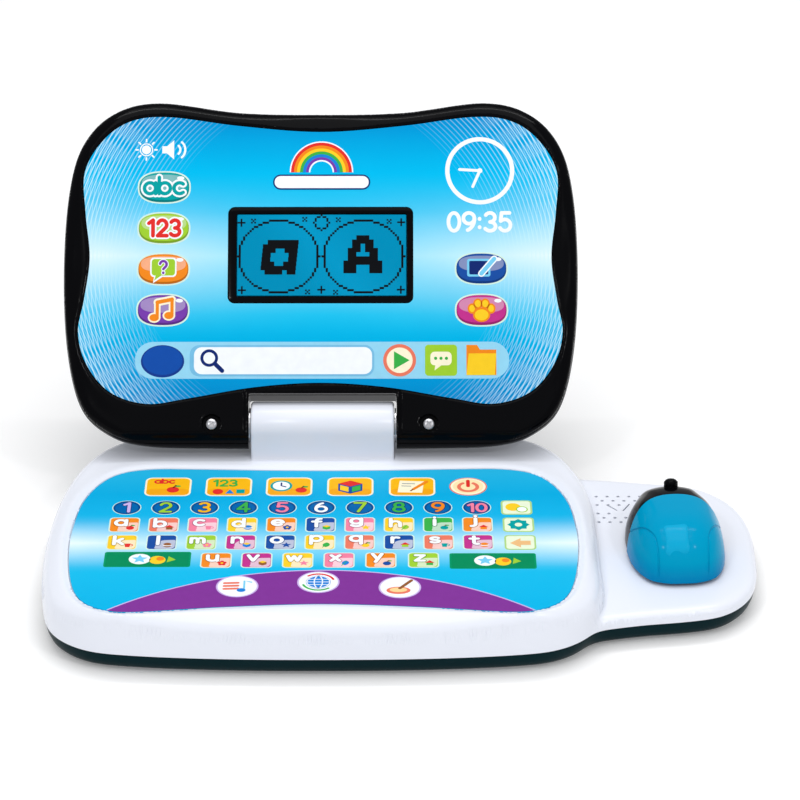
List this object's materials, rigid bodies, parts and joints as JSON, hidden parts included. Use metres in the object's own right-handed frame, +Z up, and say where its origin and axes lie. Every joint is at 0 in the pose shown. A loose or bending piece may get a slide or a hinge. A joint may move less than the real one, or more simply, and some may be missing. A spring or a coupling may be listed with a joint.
{
  "type": "toy laptop computer",
  "caption": "Child's toy laptop with a hinged lid and small screen, a flat printed keyboard, and a sliding, clickable mouse on a side pad.",
  "frame": {"origin": "middle of the whole laptop's underside, on the table, with the lid open", "axes": "+X to the user's right, along the hinge axis; +Y away from the user; +Z up"},
  "size_m": [0.317, 0.254, 0.1634],
  "materials": {
    "white_shell": "satin gloss, injection moulded",
    "dark_shell": "semi gloss, very dark green",
    "black_shell": "high gloss black",
    "black_trim": "gloss black",
    "keyboard_print": "printed film, satin",
    "lid_print": "printed film, gloss",
    "soft_sheet": "matte silicone",
    "screen_window": "clear tinted window",
    "display": "liquid crystal panel",
    "circuit_board": "green solder mask",
    "speaker": "paper cone and frame",
    "battery": "printed metal can",
    "spring_steel": "nickel plated",
    "screw_steel": "zinc plated",
    "wire_sleeve": "matte sleeve",
    "foot_rubber": "matte",
    "inner_plastic": "as moulded",
    "mouse_cover": "tinted gloss blue"
  },
  "bodies": {
    "base": {"bottom_shell": "dark_shell", "top_shell": "white_shell", "keyboard_overlay": "keyboard_print", "dome_sheet": "soft_sheet", "main_board": "circuit_board", "speaker": "speaker", "battery_cell_1": "battery", "battery_cell_2": "battery", "battery_cell_3": "battery", "battery_contact_left": "spring_steel", "battery_contact_right": "spring_steel", "battery_door": "dark_shell", "battery_door_screw": "screw_steel", "foot_front_left": "foot_rubber", "foot_front_right": "foot_rubber", "foot_rear_left": "foot_rubber", "foot_rear_right": "foot_rubber", "foot_pad": "foot_rubber", "case_screw_front_left": "screw_steel", "case_screw_front_right": "screw_steel", "case_screw_rear_left": "screw_steel", "case_screw_rear_right": "screw_steel", "case_screw_pad_front": "screw_steel", "case_screw_pad_rear": "screw_steel", "hinge_barrel": "white_shell", "hinge_pin": "screw_steel", "hinge_sleeve": "screw_steel", "hinge_washer_left": "spring_steel", "hinge_washer_right": "spring_steel", "lid_wires": "wire_sleeve", "mouse_board": "circuit_board"},
    "lid": {"lid_rear_shell": "black_shell", "lid_front_bezel": "black_shell", "lid_screw_left": "screw_steel", "lid_screw_right": "screw_steel", "lid_overlay": "lid_print", "screen_frame": "black_trim", "screen_window": "screen_window", "display_panel": "display", "lid_board": "circuit_board"},
    "mouse_x_slide": {"mouse_carriage": "inner_plastic"},
    "mouse_y_slide": {"mouse_stem": "inner_plastic", "mouse_base": "black_trim", "click_switch": "inner_plastic"},
    "mouse_button": {"mouse_cover": "mouse_cover"}
  },
  "joints": [
    {"name": "lid_hinge", "type": "hinge", "parent": "base", "child": "lid", "pos_m": [-0.03624, 0.02792, 0.0395], "axis": [1, 0, 0], "range_deg": [0, 128]},
    {"name": "mouse_slide_x", "type": "slide", "parent": "base", "child": "mouse_x_slide", "axis": [1, 0, 0], "range_m": [-0.005, 0.005], "stiffness_N_per_m": 60},
    {"name": "mouse_slide_y", "type": "slide", "parent": "mouse_x_slide", "child": "mouse_y_slide", "axis": [0, 1, 0], "range_m": [-0.005, 0.005], "stiffness_N_per_m": 60},
    {"name": "mouse_click", "type": "slide", "parent": "mouse_y_slide", "child": "mouse_button", "axis": [0, 0, -1], "range_m": [0, 0.0012], "stiffness_N_per_m": 700, "springref_m": -0.0005}
  ]
}
